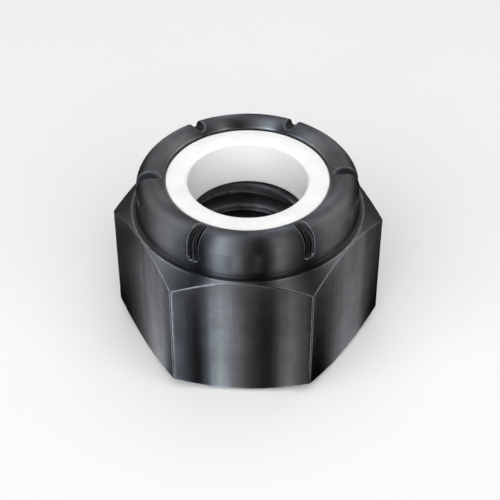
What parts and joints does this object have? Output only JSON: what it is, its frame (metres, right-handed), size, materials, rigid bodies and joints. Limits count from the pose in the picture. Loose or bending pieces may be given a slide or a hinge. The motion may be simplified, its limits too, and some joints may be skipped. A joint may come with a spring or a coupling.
{
  "type": "nylon insert lock nut",
  "caption": "Hexagonal steel lock nut whose rolled, notched collar holds a white nylon ring that grips the bolt so that it does not shake loose.",
  "frame": {"origin": "centre of the bearing face, on the thread axis", "axes": "+Z along the thread axis from the bearing face towards the nylon ring, +X through a corner of the hexagon, +Y square to a flat"},
  "size_m": [0.0116, 0.01, 0.0079],
  "materials": {
    "black_steel": "black, semi-gloss",
    "white_nylon": "satin"
  },
  "bodies": {
    "root": {"nut_body": "black_steel", "nylon_insert": "white_nylon"}
  },
  "joints": []
}
